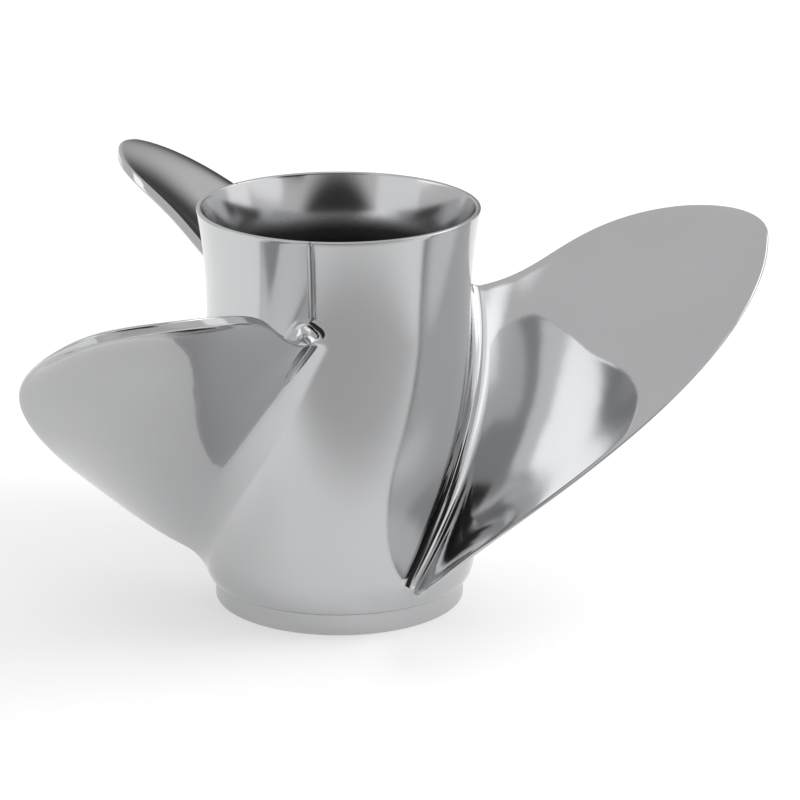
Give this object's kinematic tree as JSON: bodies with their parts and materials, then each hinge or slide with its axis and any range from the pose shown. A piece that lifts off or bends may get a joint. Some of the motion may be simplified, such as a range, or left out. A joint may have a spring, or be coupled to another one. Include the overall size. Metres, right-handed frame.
{
  "type": "outboard propeller",
  "caption": "Polished steel outboard propeller: broad raked blades on a flared exhaust barrel, with a splined sleeve carried in rubber.",
  "frame": {"origin": "on the shaft axis, in the plane of the barrel's forward face, on which the propeller stands", "axes": "+Z along the shaft axis towards the aft end; +X through one blade's tip"},
  "size_m": [0.3159, 0.3344, 0.1775],
  "materials": {
    "polished_steel": "mirror-polished cast stainless steel",
    "rubber": "matt black moulded rubber",
    "brass": "machined brass"
  },
  "bodies": {
    "root": {"propeller_casting": "polished_steel", "rubber_bushing": "rubber", "splined_sleeve": "brass"}
  },
  "joints": []
}
